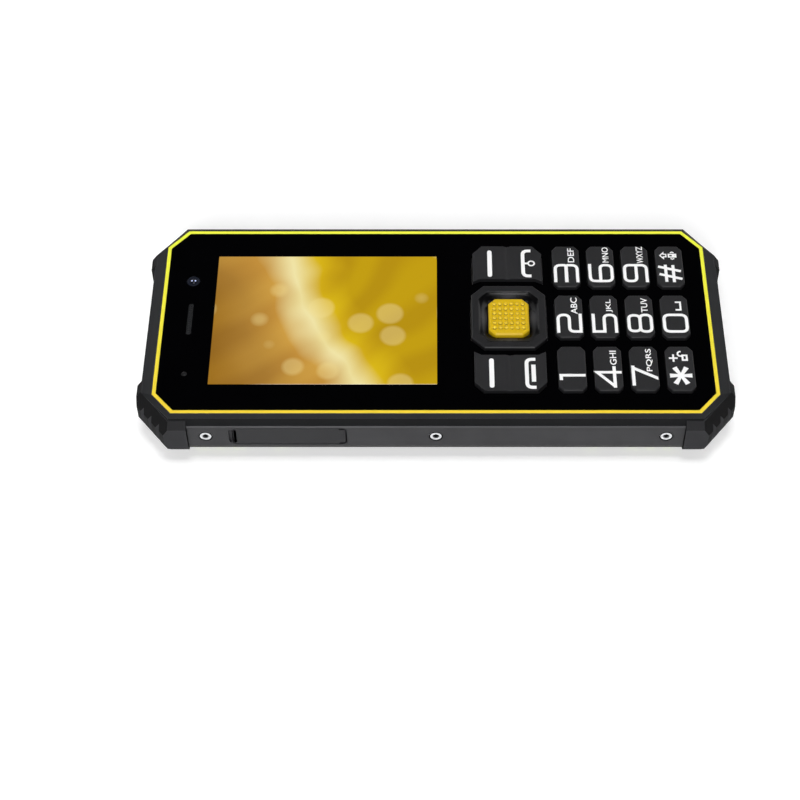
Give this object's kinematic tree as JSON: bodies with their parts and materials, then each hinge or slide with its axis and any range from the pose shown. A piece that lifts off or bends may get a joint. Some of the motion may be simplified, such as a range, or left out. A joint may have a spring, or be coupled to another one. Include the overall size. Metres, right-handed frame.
{
  "type": "rugged keypad mobile phone",
  "caption": "Slim rugged keypad handset with a colour display, navigation pad, side rails, corner pads, rear camera plate, battery door and covered side ports.",
  "frame": {"origin": "middle of the flat back, on the surface that the handset lies on", "axes": "+X to the right of the screen, +Y to the earpiece end, +Z out of the screen"},
  "size_m": [0.0578, 0.1284, 0.0141],
  "materials": {
    "shell_plastic": "fine spark-eroded black plastic",
    "pad_rubber": "overmoulded rubber-like plastic",
    "rail_metal": "dark grey anodised, matte",
    "accent_yellow": "lemon yellow satin plastic",
    "accent_lime": "lime yellow satin plastic",
    "panel_black": "piano black gloss",
    "screen_glass": "lit display under a clear cover lens",
    "lens_glass": "coated camera glass",
    "lamp_glass": "clear moulded lens",
    "key_plastic": "satin dark grey keys with white legends",
    "nav_plastic": "gloss black with a satin rim",
    "ok_plastic": "satin golden yellow",
    "steel": "plain steel",
    "black_steel": "blackened steel",
    "chassis_plastic": "glass-filled plastic",
    "seal_rubber": "matte rubber",
    "gasket_rubber": "silicone",
    "board_green": "solder mask",
    "dome_film": "polyester film over metal domes",
    "cell_wrap": "wrapped cell",
    "transducer": "dark metal can",
    "copper": "bare copper alloy"
  },
  "bodies": {
    "handset": {"front_bezel": "shell_plastic", "accent_ring": "accent_yellow", "front_panel": "panel_black", "display_module": "screen_glass", "earpiece_mesh": "black_steel", "earpiece_receiver": "transducer", "front_camera": "lens_glass", "indicator_lens": "panel_black", "mid_chassis": "chassis_plastic", "rear_housing": "shell_plastic", "housing_gasket": "gasket_rubber", "corner_bumpers": "pad_rubber", "left_rail": "rail_metal", "right_rail": "rail_metal", "side_screws": "steel", "camera_plate": "shell_plastic", "plate_screws": "black_steel", "camera_ring": "accent_lime", "camera_window": "lens_glass", "rear_camera": "lens_glass", "flash_lens": "lamp_glass", "battery_door": "shell_plastic", "badge_inlay": "panel_black", "speaker_plate": "shell_plastic", "loudspeaker": "transducer", "grip_strips": "seal_rubber", "grip_trim": "accent_lime", "accent_bars": "accent_lime", "torch_hood": "shell_plastic", "torch_lens": "lamp_glass", "main_board": "board_green", "shield_cans": "steel", "dome_sheet": "dome_film", "keypad_mat": "seal_rubber", "battery_pack": "cell_wrap", "usb_socket": "steel", "card_socket": "steel", "vibration_motor": "steel", "microphones": "copper", "antenna": "copper"},
    "key_1_body": {"key_1": "key_plastic"},
    "key_2_body": {"key_2": "key_plastic"},
    "key_3_body": {"key_3": "key_plastic"},
    "key_4_body": {"key_4": "key_plastic"},
    "key_5_body": {"key_5": "key_plastic"},
    "key_6_body": {"key_6": "key_plastic"},
    "key_7_body": {"key_7": "key_plastic"},
    "key_8_body": {"key_8": "key_plastic"},
    "key_9_body": {"key_9": "key_plastic"},
    "key_star_body": {"key_star": "key_plastic"},
    "key_0_body": {"key_0": "key_plastic"},
    "key_hash_body": {"key_hash": "key_plastic"},
    "ok_key_body": {"ok_key": "ok_plastic"},
    "left_rocker_body": {"left_rocker": "key_plastic"},
    "right_rocker_body": {"right_rocker": "key_plastic"},
    "nav_carrier_body": {"nav_carrier": "black_steel"},
    "nav_ring_body": {"nav_ring": "nav_plastic"},
    "card_cover_body": {"card_cover": "seal_rubber"},
    "usb_cover_body": {"usb_cover": "seal_rubber"},
    "vibration_weight_body": {"vibration_weight": "steel"}
  },
  "joints": [
    {"name": "key_1_press", "type": "slide", "parent": "handset", "child": "key_1_body", "axis": [0, 0, -1], "range_m": [0, 0.0004], "stiffness_N_per_m": 1000},
    {"name": "key_2_press", "type": "slide", "parent": "handset", "child": "key_2_body", "axis": [0, 0, -1], "range_m": [0, 0.0004], "stiffness_N_per_m": 1000},
    {"name": "key_3_press", "type": "slide", "parent": "handset", "child": "key_3_body", "axis": [0, 0, -1], "range_m": [0, 0.0004], "stiffness_N_per_m": 1000},
    {"name": "key_4_press", "type": "slide", "parent": "handset", "child": "key_4_body", "axis": [0, 0, -1], "range_m": [0, 0.0004], "stiffness_N_per_m": 1000},
    {"name": "key_5_press", "type": "slide", "parent": "handset", "child": "key_5_body", "axis": [0, 0, -1], "range_m": [0, 0.0004], "stiffness_N_per_m": 1000},
    {"name": "key_6_press", "type": "slide", "parent": "handset", "child": "key_6_body", "axis": [0, 0, -1], "range_m": [0, 0.0004], "stiffness_N_per_m": 1000},
    {"name": "key_7_press", "type": "slide", "parent": "handset", "child": "key_7_body", "axis": [0, 0, -1], "range_m": [0, 0.0004], "stiffness_N_per_m": 1000},
    {"name": "key_8_press", "type": "slide", "parent": "handset", "child": "key_8_body", "axis": [0, 0, -1], "range_m": [0, 0.0004], "stiffness_N_per_m": 1000},
    {"name": "key_9_press", "type": "slide", "parent": "handset", "child": "key_9_body", "axis": [0, 0, -1], "range_m": [0, 0.0004], "stiffness_N_per_m": 1000},
    {"name": "key_star_press", "type": "slide", "parent": "handset", "child": "key_star_body", "axis": [0, 0, -1], "range_m": [0, 0.0004], "stiffness_N_per_m": 1000},
    {"name": "key_0_press", "type": "slide", "parent": "handset", "child": "key_0_body", "axis": [0, 0, -1], "range_m": [0, 0.0004], "stiffness_N_per_m": 1000},
    {"name": "key_hash_press", "type": "slide", "parent": "handset", "child": "key_hash_body", "axis": [0, 0, -1], "range_m": [0, 0.0004], "stiffness_N_per_m": 1000},
    {"name": "ok_key_press", "type": "slide", "parent": "handset", "child": "ok_key_body", "axis": [0, 0, -1], "range_m": [0, 0.0004], "stiffness_N_per_m": 1000},
    {"name": "left_rocker_tilt", "type": "hinge", "parent": "handset", "child": "left_rocker_body", "pos_m": [-0.01585, -0.01603, 0.0113], "axis": [1, 0, 0], "range_deg": [-2.5, 2.5], "stiffness_Nm_per_rad": 0.3},
    {"name": "right_rocker_tilt", "type": "hinge", "parent": "handset", "child": "right_rocker_body", "pos_m": [0.01585, -0.01603, 0.0113], "axis": [1, 0, 0], "range_deg": [-2.5, 2.5], "stiffness_Nm_per_rad": 0.3},
    {"name": "nav_side_tilt", "type": "hinge", "parent": "handset", "child": "nav_carrier_body", "pos_m": [0, -0.01603, 0.0108], "axis": [0, 1, 0], "range_deg": [-2, 2], "stiffness_Nm_per_rad": 0.3},
    {"name": "nav_end_tilt", "type": "hinge", "parent": "nav_carrier_body", "child": "nav_ring_body", "pos_m": [0, -0.01603, 0.0115], "axis": [1, 0, 0], "range_deg": [-2, 2], "stiffness_Nm_per_rad": 0.3},
    {"name": "card_cover_swing", "type": "hinge", "parent": "handset", "child": "card_cover_body", "pos_m": [-0.02735, 0.01975, 0.00738], "axis": [0, 0, 1], "range_deg": [0, 95]},
    {"name": "usb_cover_swing", "type": "hinge", "parent": "handset", "child": "usb_cover_body", "pos_m": [0.02735, 0.01875, 0.00738], "axis": [0, 0, -1], "range_deg": [0, 95]},
    {"name": "vibration_spin", "type": "hinge", "parent": "handset", "child": "vibration_weight_body", "pos_m": [-0.019, -0.048, 0.0045], "axis": [0, 1, 0], "continuous": true}
  ]
}
